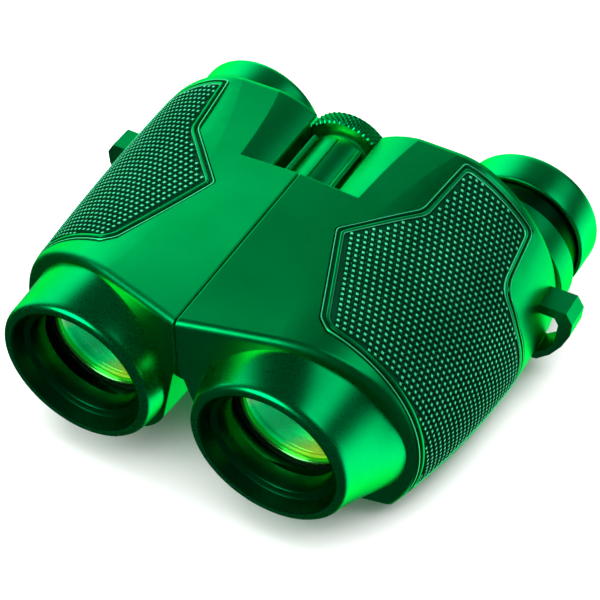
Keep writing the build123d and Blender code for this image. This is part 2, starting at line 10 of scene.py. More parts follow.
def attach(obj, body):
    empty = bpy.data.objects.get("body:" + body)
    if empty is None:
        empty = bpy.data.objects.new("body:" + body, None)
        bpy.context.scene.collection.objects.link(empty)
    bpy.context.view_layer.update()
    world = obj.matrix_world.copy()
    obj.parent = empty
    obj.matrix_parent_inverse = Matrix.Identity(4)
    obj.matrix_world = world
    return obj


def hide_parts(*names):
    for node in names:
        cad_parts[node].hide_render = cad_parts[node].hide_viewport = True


# The visible model of a pair of compact binoculars: fine meshes over the CAD, finishes, lights and camera.
# Lengths below are in millimetres: X across, stations behind the hood rims, heights from the objective
# axes. row() turns them into the frame's metres.
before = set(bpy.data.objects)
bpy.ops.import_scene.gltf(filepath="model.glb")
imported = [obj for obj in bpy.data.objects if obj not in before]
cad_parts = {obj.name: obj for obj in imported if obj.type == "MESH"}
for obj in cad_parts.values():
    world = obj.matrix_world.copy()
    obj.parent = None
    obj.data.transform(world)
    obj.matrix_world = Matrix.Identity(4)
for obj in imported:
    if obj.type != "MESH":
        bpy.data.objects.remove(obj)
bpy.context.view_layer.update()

MM = 0.001
RIM_Y = -50.4
AXIS_Z = 27.3
SIDES = (("right", 1), ("left", -1))
# Axes along Y, as (X, height).
OBJECTIVE = (22.88, 0.0)
EYEPIECE = (35.96, -9.4)
HINGE = (0.0, 11.0)
# A body's section at three stations: the arc's centre and radius, and the X where the flat top ends.
BODY_STATIONS = (0.0, 40.0, 78.5)
ARC_X = (16.1, 20.4, 15.5)
ARC_Z = (-2.4, -9.7, -11.1)
ARC_R = (27.2, 31.0, 37.1)
TOP_EDGE_X = (26.6, 22.5, 31.4)
# Half the length of the bend between the flat top and the arc.
BLEND = 4.0
SEAM_X = 0.15
TOP_Z = 22.66
# The body's front face starts at this station on the seam and sweeps back with X.
FRONT_AT_SEAM = 4.4
FRONT_SWEEP = 0.285
TURN_STEPS = 128


# ---------------------------------------------------------------- materials

CLOUD_SCALE = 60.0
TINT_GAIN = 1.2
BUMP_STRENGTH = 0.007
BUMP_DISTANCE = 0.0002


def nodes_of(name):
    mat = bpy.data.materials.new(name)
    mat.use_nodes = True
    tree = mat.node_tree
    return mat, tree, tree.nodes["Principled BSDF"]


def add_node(tree, kind, **values):
    """A new node; each value goes to the property of that name, or else to the input."""
    node = tree.nodes.new(kind)
    for key, value in values.items():
        if hasattr(node, key):
            setattr(node, key, value)
        else:
            node.inputs[key].default_value = value
    return node


def ramp(tree, source, stops):
    """A colour ramp with (place, grey or colour) stops."""
    node = tree.nodes.new("ShaderNodeValToRGB")
    elements = node.color_ramp.elements
    for index, (place, colour) in enumerate(stops):
        element = elements[index] if index < 2 else elements.new(place)
        element.position = place
        element.color = (*colour, 1.0) if hasattr(colour, "__len__") else (colour, colour, colour, 1.0)
    tree.links.new(source, node.inputs["Fac"])
    return node.outputs["Color"]


def finish_material(name, dark, light, rough, metallic=1.0, grain=1400.0, stretch=(1, 1, 1)):
    """Satin finish: slow colour clouds, and a fine grain in the gloss and in the surface."""
    mat, tree, shader = nodes_of(name)
    shader.inputs["Metallic"].default_value = metallic
    # The highlights keep the hue of the finish.
    tint = [min(1.0, channel / max(light) * TINT_GAIN) for channel in light]
    shader.inputs["Specular Tint"].default_value = (*tint, 1.0)
    place = tree.nodes.new("ShaderNodeTexCoord").outputs["Object"]
    spread = add_node(tree, "ShaderNodeMapping", Scale=stretch)
    tree.links.new(place, spread.inputs["Vector"])
    clouds = add_node(tree, "ShaderNodeTexNoise", Scale=CLOUD_SCALE, Detail=3.0, Roughness=0.5)
    fine = add_node(tree, "ShaderNodeTexNoise", Scale=grain, Detail=2.0, Roughness=0.6)
    for node in (clouds, fine):
        tree.links.new(spread.outputs["Vector"], node.inputs["Vector"])
    colour = ramp(tree, clouds.outputs["Fac"], ((0.3, dark), (0.7, light)))
    tree.links.new(colour, shader.inputs["Base Color"])
    gloss = ramp(tree, fine.outputs["Fac"], ((0.25, rough * 0.95), (0.75, rough * 1.05)))
    tree.links.new(gloss, shader.inputs["Roughness"])
    lift = add_node(tree, "ShaderNodeBump", Strength=BUMP_STRENGTH, Distance=BUMP_DISTANCE)
    tree.links.new(fine.outputs["Fac"], lift.inputs["Height"])
    tree.links.new(lift.outputs["Normal"], shader.inputs["Normal"])
    return mat


BODY = finish_material("satin_green_body", (0.0, 0.42, 0.1), (0.0, 0.5, 0.125), 0.34)
HOOD = finish_material("satin_green_hood", (0.0, 0.42, 0.1), (0.0, 0.5, 0.125), 0.28)
KNOB = finish_material("knurled_green", (0.0, 0.42, 0.1), (0.0, 0.52, 0.13), 0.3)
CUP = finish_material("eyecup_green", (0.0, 0.5, 0.12), (0.0, 0.6, 0.15), 0.3)
SLEEVE = finish_material("sleeve_green", (0.0, 0.035, 0.01), (0.0, 0.055, 0.016), 0.32)
# Painted shade: a dark copy of the grip green for the valleys, stud slopes, groove and panel floor.
GRIP_PAINTED_SHADE = finish_material("grip_painted_shade", (0.0, 0.035, 0.012), (0.0, 0.055, 0.02), 0.5, 0.6, grain=2200.0)
# Painted highlight: a light copy of the grip green for the stud tops, upper slopes, the border's ridges and
# the threads.
GRIP_PAINTED_HIGHLIGHT = finish_material("grip_painted_highlight", (0.04, 0.55, 0.24), (0.08, 0.68, 0.32), 0.4, 0.6, grain=2200.0)
FRAME = finish_material("grip_frame_green", (0.0, 0.4, 0.1), (0.0, 0.48, 0.12), 0.32)
BLACK = finish_material("black_alloy", (0.004, 0.014, 0.008), (0.008, 0.026, 0.014), 0.42, 0.6)
# Painted highlight: the front ring, a black part, is painted bright yellow-green for the light line round
# the lens.
RING_PAINTED_HIGHLIGHT = finish_material("ring_painted_highlight", (0.05, 0.62, 0.12), (0.16, 0.8, 0.15), 0.22, grain=900.0)
# Painted shade: a dark copy of the hood green inside the hood's tunnel.
TUNNEL_PAINTED_SHADE = finish_material("tunnel_painted_shade", (0.0, 0.1, 0.025), (0.0, 0.15, 0.04), 0.3)
STEEL = finish_material("zinc_steel", (0.4, 0.42, 0.42), (0.55, 0.56, 0.56), 0.3, stretch=(1, 8, 1))
BRASS = finish_material("turned_brass", (0.55, 0.38, 0.12), (0.65, 0.46, 0.16), 0.28, stretch=(1, 9, 1))
NYLON = finish_material("nylon", (0.5, 0.5, 0.46), (0.6, 0.6, 0.55), 0.5, 0.0)
SEAL = finish_material("seal_rubber", (0.012, 0.014, 0.012), (0.02, 0.024, 0.02), 0.6, 0.0)

GLASS_IOR = 1.52
HAZE_SCALE = 180.0
# Painted reflections run across the lens as colour bands, from the upper left to the lower right in front
# view.
REFLECTION_ACROSS = (0.5, 0.0, -0.5)
REFLECTION_OFFSET = 0.5
PAINTED_REFLECTION_BANDS = ((0.22, (0.75, 0.72, 0.6)), (0.36, (0.0, 0.72, 0.22)), (0.52, (0.0, 0.42, 0.12)),
                 (0.64, (0.0, 0.75, 0.2)), (0.76, (0.5, 0.75, 0.05)))
PAINTED_GLOW = 0.5


def paint_lens_reflections(tree, glass):
    """Mixes painted coloured reflections over the glass, stronger towards its edge, with a weak painted
    glow.
    """
    painted_reflection = add_node(tree, "ShaderNodeBsdfPrincipled", Metallic=1.0, Roughness=0.08)
    across = add_node(tree, "ShaderNodeVectorMath", operation="DOT_PRODUCT")
    tree.links.new(tree.nodes["Texture Coordinate"].outputs["Generated"], across.inputs[0])
    across.inputs[1].default_value = REFLECTION_ACROSS
    wave = add_node(tree, "ShaderNodeMath", operation="ADD")
    tree.links.new(across.outputs["Value"], wave.inputs[0])
    wave.inputs[1].default_value = REFLECTION_OFFSET
    # Painted reflection and painted glow: the bands colour the reflections and also shine by themselves.
    bands = ramp(tree, wave.outputs["Value"], PAINTED_REFLECTION_BANDS)
    for socket in ("Base Color", "Emission Color"):
        tree.links.new(bands, painted_reflection.inputs[socket])
    painted_reflection.inputs["Emission Strength"].default_value = PAINTED_GLOW
    mix = tree.nodes.new("ShaderNodeMixShader")
    edge = add_node(tree, "ShaderNodeLayerWeight", Blend=0.35)
    share = ramp(tree, edge.outputs["Fresnel"], ((0.0, 0.5), (1.0, 0.9)))
    tree.links.new(share, mix.inputs["Fac"])
    tree.links.new(glass.outputs["BSDF"], mix.inputs[1])
    tree.links.new(painted_reflection.outputs["BSDF"], mix.inputs[2])
    tree.links.new(mix.outputs["Shader"], tree.nodes["Material Output"].inputs["Surface"])


def glass_material(name, tint, add_painted_reflections):
    """Clear glass with a little haze, with painted reflections and a painted glow, or plain."""
    mat, tree, shader = nodes_of(name)
    shader.inputs["Transmission Weight"].default_value = 1.0
    shader.inputs["IOR"].default_value = GLASS_IOR
    shader.inputs["Base Color"].default_value = (*tint, 1.0)
    place = tree.nodes.new("ShaderNodeTexCoord").outputs["Object"]
    haze = add_node(tree, "ShaderNodeTexNoise", Scale=HAZE_SCALE, Detail=3.0)
    tree.links.new(place, haze.inputs["Vector"])
    tree.links.new(ramp(tree, haze.outputs["Fac"], ((0.3, 0.015), (0.8, 0.05))), shader.inputs["Roughness"])
    if add_painted_reflections:
        paint_lens_reflections(tree, shader)
    return mat


# The lens glass carries painted reflections and a painted glow.
LENS = glass_material("coated_lens_painted_reflections", (0.75, 0.98, 0.8), True)
PRISM = glass_material("prism_glass", (0.92, 0.98, 0.95), False)


# ---------------------------------------------------------------- mesh helpers

# How a soft corner is cut: at most this share of an edge, and less in each further round.
CORNER_SHARE = 0.3
CORNER_SHRINK = 0.4


def row(x, station, height):
    return (x * MM, (station + RIM_Y) * MM, (height + AXIS_Z) * MM)


def piece(name, verts, faces, body, slot, material, hides=(), mirrored=False, sharp=38.0):
    """A mesh from (X, station, height) points, riding on a body and standing for the hidden CAD nodes."""
    sign = -1 if mirrored else 1
    mesh = bpy.data.meshes.new(name)
    ordered = [tuple(reversed(face)) for face in faces] if mirrored else faces
    mesh.from_pydata([row(sign * x, y, z) for x, y, z in verts], [], ordered)
    mesh.validate()
    shape = bmesh.new()
    shape.from_mesh(mesh)
    bmesh.ops.recalc_face_normals(shape, faces=shape.faces)
    shape.to_mesh(mesh)
    shape.free()
    mesh.polygons.foreach_set("use_smooth", [True] * len(mesh.polygons))
    mesh.set_sharp_from_angle(angle=math.radians(sharp))
    mesh.materials.append(material)
    made = bpy.data.objects.new(name, mesh)
    bpy.context.scene.collection.objects.link(made)
    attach(made, body)
    if hides:
        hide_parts(*hides)
    return made


def strips(rings, closed_across=False):
    """Faces between equal rings of points; each ring is closed along itself."""
    verts = [point for ring in rings for point in ring]
    count = len(rings[0])
    faces = []
    for this in range(len(rings) if closed_across else len(rings) - 1):
        following = (this + 1) % len(rings)
        for i in range(count):
            j = (i + 1) % count
            faces.append((this * count + i, this * count + j, following * count + j, following * count + i))
    return verts, faces


def around(at, radius, angle, station):
    """A point at an angle round the line along Y through `at`."""
    return (at[0] + radius * math.sin(angle), station, at[1] + radius * math.cos(angle))


def circle(at, radius, station, steps):
    return [around(at, radius, math.tau * i / steps, station) for i in range(steps)]


def soften(outline, reach=0.25, rounds=2):
    """Cuts the corners of a closed outline back, so that each becomes a small bend."""
    points = [Vector(p) for p in outline]
    for _ in range(rounds):
        softer = []
        for i, here in enumerate(points):
            for other in (points[i - 1], points[(i + 1) % len(points)]):
                span = (other - here).length
                softer.append(here + (other - here) * (min(reach, span * CORNER_SHARE) / span))
        points = softer
        reach *= CORNER_SHRINK
    return [tuple(p) for p in points]


def turned(at, outline, steps=TURN_STEPS):
    """A closed outline of (radius, station) points turned round the line along Y through `at`."""
    return strips([circle(at, radius, station, steps) for radius, station in outline], closed_across=True)


# ---------------------------------------------------------------- body surface

# Where the distance round from the seam is looked for, on the top and on the outer side.
TOP_SEARCH = (0.0, 60.0)
SIDE_SEARCH = (30.0, 100.0)
HALVINGS = 40


def through_stations(values, y):
    a, b, c = BODY_STATIONS
    return (values[0] * (y - b) * (y - c) / ((a - b) * (a - c))
            + values[1] * (y - a) * (y - c) / ((b - a) * (b - c))
            + values[2] * (y - a) * (y - b) / ((c - a) * (c - b)))


def bezier(start, bend, end, t):
    return (1 - t) ** 2 * start + 2 * t * (1 - t) * bend + t * t * end


def skin(s, y):
    """Point and outward normal of a body's outer surface, s millimetres round from the seam."""
    cx, cz, r = (through_stations(values, y) for values in (ARC_X, ARC_Z, ARC_R))
    tx = through_stations(TOP_EDGE_X, y)
    tz = cz + math.sqrt(r * r - (tx - cx) ** 2)
    corner = np.array((tx, tz))
    start = np.array((SEAM_X, TOP_Z))
    flat = np.linalg.norm(corner - start)
    along = (corner - start) / flat
    first = math.asin((tx - cx) / r)

    def arc(length):
        angle = first + length / r
        point = np.array((cx + r * math.sin(angle), cz + r * math.cos(angle)))
        return point, np.array((math.sin(angle), math.cos(angle)))

    if s <= flat - BLEND:
        return start + along * s, np.array((-along[1], along[0]))
    if s >= flat + BLEND:
        return arc(s - flat)
    t = (s - flat + BLEND) / (2 * BLEND)
    leaves, arrives = corner - along * BLEND, arc(BLEND)[0]
    tangent = (1 - t) * (corner - leaves) + t * (arrives - corner)
    normal = np.array((-tangent[1], tangent[0])) / np.linalg.norm(tangent)
    return bezier(leaves, corner, arrives, t), normal


def round_from_seam(y, x=None, z=None):
    """The s of the surface point at a given X on the top, or at a given height on the outer side."""
    low, high = TOP_SEARCH if x is not None else SIDE_SEARCH
    for _ in range(HALVINGS):
        middle = (low + high) / 2
        point = skin(middle, y)[0]
        beyond = point[0] > x if x is not None else point[1] < z
        low, high = (low, middle) if beyond else (middle, high)
    return low


def on_skin(s, y, lift):
    """The point that stands off the surface by a lift."""
    point, normal = skin(s, y)
    return (point[0] + normal[0] * lift, y, point[1] + normal[1] * lift)


# ---------------------------------------------------------------- grip panels

# Corners of the panel, as (X or None, station, height or None), and the rounding of each corner.
PANEL = ((14.5, 44.5, None, 0.9), (27.3, 58.5, None, 1.6), (29.2, 75.2, None, 0.9), (None, 75.2, 9.4, 1.6),
         (None, 59.4, 6.8, 4.0), (None, 58.4, -2.0, 3.0), (None, 60.0, -13.0, 3.0), (None, 61.0, -21.6, 1.2),
         (None, 18.4, -19.6, 1.2), (26.5, 18.4, None, 1.2), (23.8, 20.6, None, 1.0))
CORNER_STEPS = 6
# A corner's rounding takes at most this share of the shorter edge beside it.
CORNER_ROOM = 0.42
EDGE_STEP = 0.9
# The border across, from the outer edge inwards: how far in, and how high over the body's surface.
BORDER = ((0.0, -1.0), (0.02, -0.16), (0.12, -0.03), (0.26, 0.0), (0.4, -0.03), (0.52, -0.16), (0.6, -0.5),
          (0.95, -0.52), (1.04, -0.2), (1.16, 0.02), (1.34, 0.1), (1.56, 0.1), (1.74, 0.02), (1.86, -0.2),
          (1.95, -0.52))
# Strips of the border with painted shade in the groove, with painted highlight where they catch the light,
# and that lead down to the floor (painted shade as well).
PAINTED_SHADE_STRIPS = range(4, 8)
PAINTED_HIGHLIGHT_STRIPS = (2, 12)
FLOOR_STRIP = len(BORDER) - 2
FLOOR_LIFT = -0.54
FLOOR_GRID = 1.6
FLOOR_MERGE = 1e-5
# The studs stand on a skewed lattice; these are its two steps as (round the body, along it).
STUD_ROUND = np.array((1.48, 0.235))
STUD_ALONG = np.array((-0.535, 1.325))
STUD_MARGIN = 2.35
LATTICE_REACH = 60
# Half the width of a stud at each level, as a share of the lattice's steps, and the level's height.
STUD_LEVELS = ((0.44, FLOOR_LIFT - 0.02), (0.37, -0.3), (0.2, -0.03), (0.13, 0.06))
STUD_BANDS = len(STUD_LEVELS) - 1
STUD_FACES = 4 * STUD_BANDS + 1
# The faces of a stud with painted highlight are its top and the four slopes below it.
PAINTED_HIGHLIGHT_FACES = 5
# Section of the thread in the valleys, as (aside, height).
THREAD = ((-0.05, FLOOR_LIFT - 0.02), (0, FLOOR_LIFT + 0.2), (0.05, FLOOR_LIFT - 0.02))
# A point in the middle of a body, which the panel's faces look away from.
BODY_MIDDLE = (18.0, 45.0, 0.0)
PANEL_SHARP = 25.0


def inset_corners(corners, distance):
    """Corners of the polygon moved inwards by a distance."""
    moved = []
    for i, here in enumerate(corners):
        before, after = corners[i - 1], corners[(i + 1) % len(corners)]
        a = (here - before) / np.linalg.norm(here - before)
        b = (after - here) / np.linalg.norm(after - here)
        na, nb = np.array((a[1], -a[0])), np.array((b[1], -b[0]))
        moved.append(here + (na + nb) * (distance / (1 + na @ nb)))
    return moved


def rounded_ring(corners, counts):
    """Points round a polygon with rounded corners, with a given number of points on each edge."""
    cuts = []
    for i, here in enumerate(corners):
        to_before, to_after = corners[i - 1] - here, corners[(i + 1) % len(corners)] - here
        room = min(np.linalg.norm(to_before), np.linalg.norm(to_after)) * CORNER_ROOM
        reach = min(PANEL[i][3], room)
        cuts.append((here + to_before * (reach / np.linalg.norm(to_before)), here,
                     here + to_after * (reach / np.linalg.norm(to_after))))
    ring = []
    for i, (arrives, here, leaves) in enumerate(cuts):
        for k in range(CORNER_STEPS + 1):
            ring.append(bezier(arrives, here, leaves, k / CORNER_STEPS))
        following = cuts[(i + 1) % len(cuts)][0]
        for k in range(1, counts[i]):
            ring.append(leaves + (following - leaves) * (k / counts[i]))
    return ring


def inside(point, ring):
    x, y = point
    found = False
    for i in range(len(ring)):
        (xa, ya), (xb, yb) = ring[i - 1], ring[i]
        if (ya > y) != (yb > y) and x < (xb - xa) * (y - ya) / (yb - ya) + xa:
            found = not found
    return found


def panel_outline():
    """The panel's corners round and along the body, the points on each edge, and the way inwards."""
    corners = [np.array((round_from_seam(y, x, z), y)) for x, y, z, _ in PANEL]
    following = corners[1:] + corners[:1]
    counts = [max(2, round(np.linalg.norm(b - a) / EDGE_STEP)) for a, b in zip(corners, following)]
    area = sum(a[0] * b[1] - b[0] * a[1] for a, b in zip(corners, following))
    return corners, counts, 1 if area < 0 else -1


def frame_geometry(corners, counts, inwards):
    """The border and the floor inside it; also the floor's outline and the points in a ring."""
    flat_rings = [rounded_ring(inset_corners(corners, inwards * far), counts) for far, _ in BORDER]
    verts, faces = strips([[on_skin(s, y, lift) for s, y in ring]
                           for ring, (_, lift) in zip(flat_rings, BORDER)])
    inner = flat_rings[-1]
    count = len(inner)
    low, high = np.min(inner, axis=0), np.max(inner, axis=0)
    points = [Vector(p) for p in inner]
    for s in np.arange(low[0], high[0], FLOOR_GRID):
        for y in np.arange(low[1], high[1], FLOOR_GRID):
            if inside((s, y), inner):
                points.append(Vector((s, y)))
    edges = [(i, (i + 1) % count) for i in range(count)]
    flat_verts, _, flat_faces, *_ = delaunay_2d_cdt(points, edges, [], 1, FLOOR_MERGE)
    for face in flat_faces:
        middle = sum((flat_verts[i] for i in face), Vector((0, 0))) / len(face)
        if inside(middle, inner):
            faces.append(tuple(len(verts) + i for i in face))
    verts += [on_skin(p.x, p.y, FLOOR_LIFT) for p in flat_verts]
    return verts, faces, inner, count


def add_stud(verts, faces, centre):
    start = len(verts)
    for share, lift in STUD_LEVELS:
        for u, v in ((1, 1), (1, -1), (-1, -1), (-1, 1)):
            at = centre + share * (u * STUD_ALONG + v * STUD_ROUND)
            verts.append(on_skin(at[0], at[1], lift))
    for level in range(STUD_BANDS):
        for k in range(4):
            a, b = start + level * 4 + k, start + level * 4 + (k + 1) % 4
            faces.append((a, b, b + 4, a + 4))
    faces.append(tuple(start + STUD_BANDS * 4 + k for k in range(4)))


def add_thread(verts, faces, valley, limit):
    """A fine thread in the valley beside a stud, where there is room for it."""
    step = STUD_ALONG + STUD_ROUND
    aside = np.array((step[1], -step[0])) / np.linalg.norm(step)
    if not inside(valley + step / 2, limit) or not inside(valley - step / 2, limit):
        return
    start = len(verts)
    for end in (-0.5, 0.5):
        for side, lift in THREAD:
            at = valley + step * end + aside * side
            verts.append(on_skin(at[0], at[1], lift))
    for k in range(2):
        faces.append((start + k, start + k + 1, start + k + 4, start + k + 3))


def lattice_geometry(corners, counts, inwards, inner):
    """Studs, and the threads between them, on every lattice point that has room."""
    low, high = np.min(inner, axis=0), np.max(inner, axis=0)
    limit = rounded_ring(inset_corners(corners, inwards * STUD_MARGIN), counts)
    studs, threads = ([], []), ([], [])
    for i in range(-LATTICE_REACH, LATTICE_REACH):
        for j in range(-LATTICE_REACH, LATTICE_REACH):
            centre = (low + high) / 2 + i * STUD_ALONG + j * STUD_ROUND
            if not (low[0] < centre[0] < high[0] and low[1] < centre[1] < high[1]):
                continue
            if inside(centre, limit):
                add_stud(*studs, centre)
                add_thread(*threads, centre + (STUD_ALONG - STUD_ROUND) / 2, limit)
    return studs, threads


def face_outwards(made, side):
    """Turns the faces so that their normals point away from the body."""
    x, station, height = BODY_MIDDLE
    middle = Vector(row(side * x, station, height))
    mesh = made.data
    if sum(face.normal.dot(face.center - middle) * face.area for face in mesh.polygons) < 0:
        mesh.flip_normals()


def paint(made, material, chosen):
    """Gives the chosen faces, told by their numbers, one more material."""
    made.data.materials.append(material)
    for polygon in made.data.polygons:
        if chosen(polygon.index):
            polygon.material_index = len(made.data.materials) - 1


panel_corners, edge_counts, inwards = panel_outline()
panel_verts, panel_faces, panel_inner, ring_count = frame_geometry(panel_corners, edge_counts, inwards)
studs, threads = lattice_geometry(panel_corners, edge_counts, inwards, panel_inner)
for side_name, sign in SIDES:
    half = f"{side_name}_half"
    made = piece(f"{side_name}_grip", panel_verts, panel_faces, half, "grip_rubber", FRAME,
                 (f"{side_name}_grip_panel",), sign < 0)
    # Painted shade in the groove and on the floor, painted highlight on the ridges.
    paint(made, GRIP_PAINTED_SHADE, lambda face: face // ring_count in PAINTED_SHADE_STRIPS or face // ring_count >= FLOOR_STRIP)
    paint(made, GRIP_PAINTED_HIGHLIGHT, lambda face: face // ring_count in PAINTED_HIGHLIGHT_STRIPS)
    face_outwards(made, sign)
    made = piece(f"{side_name}_grip_studs", *studs, half, "grip_rubber", GRIP_PAINTED_SHADE, (), sign < 0, PANEL_SHARP)
    # Painted highlight on the top and upper slopes of each stud.
    paint(made, GRIP_PAINTED_HIGHLIGHT, lambda face: face % STUD_FACES >= STUD_FACES - PAINTED_HIGHLIGHT_FACES)
    face_outwards(made, sign)
    # The threads carry painted highlight.
    made = piece(f"{side_name}_grip_threads", *threads, half, "grip_rubber", GRIP_PAINTED_HIGHLIGHT, (), sign < 0, PANEL_SHARP)
    face_outwards(made, sign)

# ---------------------------------------------------------------- objective hoods

# Root of the hood on the swept face, from its outermost point anticlockwise as (X, height).
HOOD_ROOT = ((45.5, -7.0), (41.2, 6.4), (31.6, 16.4), (20.6, 19.9), (10.0, 15.2), (3.9, 1.0), (8.0, -11.4),
             (18.0, -18.6), (30.5, -19.4), (41.6, -16.4))
# Outlines as (radius, station): the tunnel from the rim inwards, and the lip from the rim outwards.
HOOD_TUNNEL = ((15.9, 0.12), (15.5, 0.3), (14.62, 2.95), (14.4, 3.12), (13.3, 3.5), (13.12, 3.75),
               (13.08, 4.1), (12.9, 4.4), (12.62, 7.6), (12.6, 7.9), (13.9, 8.2), (14.6, 8.4))
HOOD_LIP = ((16.5, 0.0), (17.05, 0.06), (17.5, 0.28), (17.8, 0.62), (18.0, 1.05), (18.12, 1.6))
HOOD_STEPS = 160
HOOD_SHARP = 30.0
FLARE_STEPS = 14
FLARE_POWER = 1.15
# How far the hood's root lies behind the swept face.
ROOT_SUNK = 0.25


def closed_curve(points, angle, centre):
    """Distance from a centre to a smooth closed curve through the points, at an angle."""
    offsets = [(x - centre[0], z - centre[1]) for x, z in points]
    polar = sorted((math.atan2(x, z), math.hypot(x, z)) for x, z in offsets)
    count = len(polar)
    following = next((k for k in range(count) if polar[k][0] > angle), count)
    picks = []
    for k in range(following - 2, following + 2):
        picks.append((polar[k % count][0] + math.tau * (k // count), polar[k % count][1]))
    (a0, r0), (a1, r1), (a2, r2), (a3, r3) = picks
    t = (angle - a1) / (a2 - a1)
    m1 = (r2 - r0) / (a2 - a0) * (a2 - a1)
    m2 = (r3 - r1) / (a3 - a1) * (a2 - a1)
    return ((2 * t ** 3 - 3 * t * t + 1) * r1 + (t ** 3 - 2 * t * t + t) * m1
            + (3 * t * t - 2 * t ** 3) * r2 + (t ** 3 - t * t) * m2)


def flare_point(i, t):
    """The i-th point round the hood's outside, at a share t of the way from the lip to the root."""
    angle = math.tau * i / HOOD_STEPS
    root = closed_curve(HOOD_ROOT, angle if angle <= math.pi else angle - math.tau, OBJECTIVE)
    root_station = FRONT_AT_SEAM + FRONT_SWEEP * (OBJECTIVE[0] + root * math.sin(angle)) + ROOT_SUNK
    lip_radius, lip_station = HOOD_LIP[-1]
    return around(OBJECTIVE, lip_radius + (root - lip_radius) * t ** FLARE_POWER, angle,
                  lip_station + (root_station - lip_station) * t)


def hood_geometry():
    outline = (*reversed(HOOD_TUNNEL), *HOOD_LIP)
    rings = [circle(OBJECTIVE, radius, station, HOOD_STEPS) for radius, station in outline]
    for k in range(1, FLARE_STEPS + 1):
        rings.append([flare_point(i, k / FLARE_STEPS) for i in range(HOOD_STEPS)])
    return strips(rings)


hood_verts, hood_faces = hood_geometry()
for side_name, sign in SIDES:
    made = piece(f"{side_name}_hood", hood_verts, hood_faces, f"{side_name}_half", "hood_green", HOOD,
                 (f"{side_name}_objective_hood",), sign < 0, HOOD_SHARP)
    # Painted shade on the tunnel's faces.
    paint(made, TUNNEL_PAINTED_SHADE, lambda face: face < HOOD_STEPS * (len(HOOD_TUNNEL) - 1))

# ---------------------------------------------------------------- lenses, rings and eyecups

LENS_STEPS = 16
LENS_TURN_STEPS = 96
LENS_RADIUS = 12.55
# A lens face as (station on the axis, how much further back it is at the rim).
LENS_FRONT = (11.3, 1.6)
LENS_REAR = (17.8, -1.1)
# The lens mesh stops just short of its axis.
AXIS_GAP = 0.01
FRONT_RING = ((11.9, 11.5), (12.4, 11.16), (12.85, 11.2), (12.85, 12.75), (11.9, 12.65))
FRONT_RING_BEND = 0.12
CUP_OUTLINE = ((15.4, 91.5), (16.3, 91.5), (16.62, 91.8), (16.72, 95.0), (16.86, 99.4), (16.7, 100.2),
               (16.2, 100.7), (15.5, 100.8), (12.6, 100.8), (11.9, 100.4), (11.6, 99.6), (11.6, 98.3),
               (16.05, 98.3), (16.05, 97.0), (15.4, 97.0))
CUP_BEND = 0.3


def lens_face(face):
    """Points of a curved face from the axis to the rim."""
    station, back = face
    shares = [k / LENS_STEPS for k in range(LENS_STEPS + 1)]
    return [(max(LENS_RADIUS * t, AXIS_GAP), station + back * t * t) for t in shares]


lens_outline = lens_face(LENS_FRONT) + lens_face(LENS_REAR)[::-1]
for side_name, sign in SIDES:
    objective = f"{side_name}_objective"
    piece(f"{side_name}_front_glass", *turned(OBJECTIVE, lens_outline, LENS_TURN_STEPS), objective,
          "coated_glass", LENS, (f"{side_name}_objective_lens",), sign < 0)
    # The front ring carries painted highlight.
    piece(f"{side_name}_front_ring", *turned(OBJECTIVE, soften(FRONT_RING, FRONT_RING_BEND)), objective,
          "black_alloy", RING_PAINTED_HIGHLIGHT, (f"{side_name}_objective_ring",), sign < 0)
for side_name, sign in SIDES:
    piece(f"{side_name}_cup_rubber", *turned(EYEPIECE, soften(CUP_OUTLINE, CUP_BEND)), f"{side_name}_cup",
          "cup_green", CUP, (f"{side_name}_eyecup",), sign < 0)

# ---------------------------------------------------------------- focusing wheel

KNURL_TEETH = 50
STEPS_A_TOOTH = 4
KNURL_DEPTH = 0.55
KNURL_ROWS = 16
KNOB_TIP = 10.58
KNOB_FRONT = 75.1
KNOB_REAR = 78.6
KNOB_SHARP = 24.0
# Plain parts of the wheel's outline, as (radius, station).
WHEEL_FACE = ((2.5, 74.72), (9.6, 74.7), (10.0, 74.78))
WHEEL_BACK = ((10.0, 78.92), (9.7, 79.0), (5.5, 79.0), (5.25, 78.8), (5.2, 77.6), (2.5, 77.6))


def knurl_radius(i, station):
    """Radius of the crossed knurl at the i-th point round the wheel."""
    pitch = math.tau * KNOB_TIP / KNURL_TEETH
    turn = i / STEPS_A_TOOTH
    climb = (station - KNOB_FRONT) / pitch
    u, v = (turn + climb) % 1.0, (turn - climb) % 1.0
    return KNOB_TIP - KNURL_DEPTH * (1 - min(abs(2 * u - 1), abs(2 * v - 1)))


def wheel_geometry():
    steps = KNURL_TEETH * STEPS_A_TOOTH
    rings = [circle(HINGE, radius, station, steps) for radius, station in WHEEL_FACE]
    for k in range(KNURL_ROWS + 1):
        station = KNOB_FRONT + (KNOB_REAR - KNOB_FRONT) * k / KNURL_ROWS
        rings.append([around(HINGE, knurl_radius(i, station), math.tau * i / steps, station)
                      for i in range(steps)])
    rings += [circle(HINGE, radius, station, steps) for radius, station in WHEEL_BACK]
    return strips(rings, closed_across=True)


piece("focus_wheel", *wheel_geometry(), "focus_drive", "knob_green", KNOB, ("focus_knob",), sharp=KNOB_SHARP)

# ---------------------------------------------------------------- finishes of the CAD pieces

